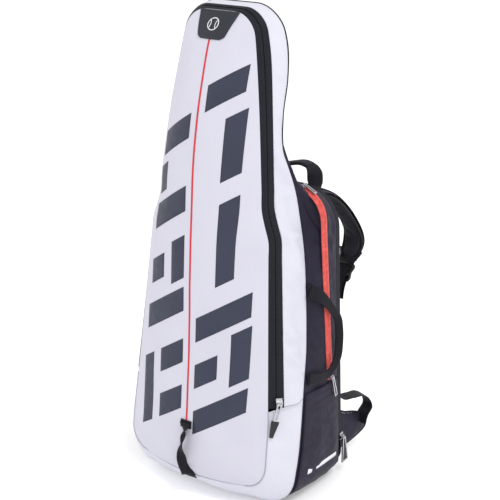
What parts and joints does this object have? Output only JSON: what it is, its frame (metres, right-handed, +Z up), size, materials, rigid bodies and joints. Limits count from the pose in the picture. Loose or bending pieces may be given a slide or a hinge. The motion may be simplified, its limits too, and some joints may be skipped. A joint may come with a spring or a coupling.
{
  "type": "racket backpack",
  "caption": "Tall two-compartment racket backpack with a domed zip-off front flap, padded back door, shoulder straps and webbing handles.",
  "frame": {"origin": "middle of the base, on the floor", "axes": "+Z up, +Y from the front panel to the wearer's back, +X to the side on which the racket zip's slider is parked"},
  "size_m": [0.3184, 0.3485, 0.755],
  "materials": {
    "white_fabric": "woven polyester, matt",
    "dark_fabric": "woven polyester, matt",
    "black_webbing": "ribbed webbing",
    "black_fabric": "woven polyester",
    "coral_zip": "coil zip with coated tape",
    "zip_tape": "coil zip with coated tape",
    "patch": "moulded, satin",
    "silver": "polished",
    "black_plastic": "moulded",
    "foam_mesh": "air mesh over foam",
    "board": "sheet"
  },
  "bodies": {
    "bag": {"racket_gusset": "white_fabric", "racket_back_panel": "black_fabric", "front_panel_lower": "white_fabric", "gusset_zip_tape": "zip_tape", "front_loop": "black_webbing", "front_gusset": "dark_fabric", "rear_gusset": "dark_fabric", "coral_zip_right": "coral_zip", "coral_zip_left": "coral_zip", "side_pocket_right": "dark_fabric", "side_pocket_left": "dark_fabric", "laptop_divider": "board", "base_board": "board", "body_zip_tape": "zip_tape"},
    "flap": {"front_flap": "white_fabric", "flap_zip_tape": "zip_tape", "nose_patch": "patch"},
    "racket_slider": {"racket_slider": "silver"},
    "racket_pull": {"racket_pull_link": "silver", "racket_pull_tab": "black_plastic"},
    "door": {"door_zip_tape": "zip_tape", "back_panel": "black_fabric", "frame_sheet": "board", "back_pad_right": "foam_mesh", "back_pad_left": "foam_mesh", "lumbar_pad": "foam_mesh", "strap_yoke": "black_fabric", "strap_webbing_right": "black_webbing", "strap_webbing_left": "black_webbing", "strap_wing_right": "foam_mesh", "strap_wing_left": "foam_mesh"},
    "top_handle": {"top_handle": "black_webbing"},
    "coral_slider_low_right": {"coral_slider_low_right": "silver"},
    "coral_pull_low_right": {"coral_pull_low_right": "silver"},
    "coral_slider_top_right": {"coral_slider_top_right": "silver"},
    "coral_pull_top_right": {"coral_pull_top_right": "silver"},
    "back_slider_right": {"back_slider_right": "silver"},
    "back_pull_right": {"back_pull_frame_right": "silver", "back_pull_core_right": "black_plastic"},
    "shoulder_strap_right": {"shoulder_strap_right": "foam_mesh"},
    "strap_buckle_right": {"strap_buckle_right": "black_plastic"},
    "side_handle_right": {"side_handle_right": "black_webbing"},
    "coral_slider_low_left": {"coral_slider_low_left": "silver"},
    "coral_pull_low_left": {"coral_pull_low_left": "silver"},
    "coral_slider_top_left": {"coral_slider_top_left": "silver"},
    "coral_pull_top_left": {"coral_pull_top_left": "silver"},
    "back_slider_left": {"back_slider_left": "silver"},
    "back_pull_left": {"back_pull_frame_left": "silver", "back_pull_core_left": "black_plastic"},
    "shoulder_strap_left": {"shoulder_strap_left": "foam_mesh"},
    "strap_buckle_left": {"strap_buckle_left": "black_plastic"},
    "side_handle_left": {"side_handle_left": "black_webbing"}
  },
  "joints": [
    {"name": "flap_fold", "type": "hinge", "parent": "bag", "child": "flap", "pos_m": [0, -0.106, 0.174], "axis": [1, 0, 0], "range_deg": [0, 100]},
    {"name": "racket_slider_run", "type": "slide", "parent": "bag", "child": "racket_slider", "axis": [-0.0831, 0.0915, 0.9923], "range_m": [0, 0.11]},
    {"name": "racket_pull_swing", "type": "hinge", "parent": "racket_slider", "child": "racket_pull", "pos_m": [0.14232, -0.06098, 0.184], "axis": [-0.6345, -0.7321, 0.2479], "range_deg": [0, 90]},
    {"name": "door_fold", "type": "hinge", "parent": "bag", "child": "door", "pos_m": [0, 0.101, 0.022], "axis": [-1, 0, 0], "range_deg": [0, 25]},
    {"name": "top_handle_swing", "type": "hinge", "parent": "door", "child": "top_handle", "pos_m": [0, 0.104, 0.48], "axis": [1, 0, 0], "range_deg": [-30, 30]},
    {"name": "coral_slider_low_right_run", "type": "slide", "parent": "bag", "child": "coral_slider_low_right", "axis": [-0.0089, -0.0877, 0.9961], "range_m": [0, 0.18]},
    {"name": "coral_pull_low_right_swing", "type": "hinge", "parent": "coral_slider_low_right", "child": "coral_pull_low_right", "pos_m": [0.15132, 0.06766, 0.1845], "axis": [0, -0.9578, -0.2873], "range_deg": [0, 50]},
    {"name": "coral_slider_top_right_run", "type": "hinge", "parent": "bag", "child": "coral_slider_top_right", "pos_m": [0.0975, 0.04446, 0.441], "axis": [0, 1, 0], "range_deg": [0, 50]},
    {"name": "coral_pull_top_right_swing", "type": "hinge", "parent": "coral_slider_top_right", "child": "coral_pull_top_right", "pos_m": [0.10746, 0.04446, 0.49224], "axis": [0, -1, 0], "range_deg": [0, 80]},
    {"name": "back_slider_right_run", "type": "slide", "parent": "door", "child": "back_slider_right", "axis": [-0.0172, -0.0281, 0.9995], "range_m": [0, 0.28]},
    {"name": "back_pull_right_swing", "type": "hinge", "parent": "back_slider_right", "child": "back_pull_right", "pos_m": [0.1493, 0.10733, 0.066], "axis": [0, -0.995, -0.0995], "range_deg": [0, 90]},
    {"name": "shoulder_strap_right_lift", "type": "hinge", "parent": "door", "child": "shoulder_strap_right", "pos_m": [0.062, 0.116, 0.456], "axis": [1, 0, 0], "range_deg": [0, 25]},
    {"name": "strap_buckle_right_tilt", "type": "hinge", "parent": "shoulder_strap_right", "child": "strap_buckle_right", "pos_m": [0.0885, 0.1965, 0.3225], "axis": [0.9831, -0.1714, 0.0646], "range_deg": [0, 40]},
    {"name": "side_handle_right_swing", "type": "hinge", "parent": "bag", "child": "side_handle_right", "pos_m": [0.143, 0.0135, 0.26825], "axis": [0.0956, -0.1103, -0.9893], "range_deg": [0, 70]},
    {"name": "coral_slider_low_left_run", "type": "slide", "parent": "bag", "child": "coral_slider_low_left", "axis": [0.0089, -0.0877, 0.9961], "range_m": [0, 0.18]},
    {"name": "coral_pull_low_left_swing", "type": "hinge", "parent": "coral_slider_low_left", "child": "coral_pull_low_left", "pos_m": [-0.15132, 0.06766, 0.1845], "axis": [0, 0.9578, 0.2873], "range_deg": [0, 50]},
    {"name": "coral_slider_top_left_run", "type": "hinge", "parent": "bag", "child": "coral_slider_top_left", "pos_m": [-0.0975, 0.04446, 0.441], "axis": [0, -1, 0], "range_deg": [0, 50]},
    {"name": "coral_pull_top_left_swing", "type": "hinge", "parent": "coral_slider_top_left", "child": "coral_pull_top_left", "pos_m": [-0.10746, 0.04446, 0.49224], "axis": [0, 1, 0], "range_deg": [0, 80]},
    {"name": "back_slider_left_run", "type": "slide", "parent": "door", "child": "back_slider_left", "axis": [0.0172, -0.0281, 0.9995], "range_m": [0, 0.28]},
    {"name": "back_pull_left_swing", "type": "hinge", "parent": "back_slider_left", "child": "back_pull_left", "pos_m": [-0.1493, 0.10733, 0.066], "axis": [0, 0.995, 0.0995], "range_deg": [0, 90]},
    {"name": "shoulder_strap_left_lift", "type": "hinge", "parent": "door", "child": "shoulder_strap_left", "pos_m": [-0.062, 0.116, 0.456], "axis": [1, 0, 0], "range_deg": [0, 25]},
    {"name": "strap_buckle_left_tilt", "type": "hinge", "parent": "shoulder_strap_left", "child": "strap_buckle_left", "pos_m": [-0.0885, 0.1965, 0.3225], "axis": [0.9831, 0.1714, -0.0646], "range_deg": [0, 40]},
    {"name": "side_handle_left_swing", "type": "hinge", "parent": "bag", "child": "side_handle_left", "pos_m": [-0.143, 0.0135, 0.26825], "axis": [0.0956, 0.1103, 0.9893], "range_deg": [0, 70]}
  ]
}
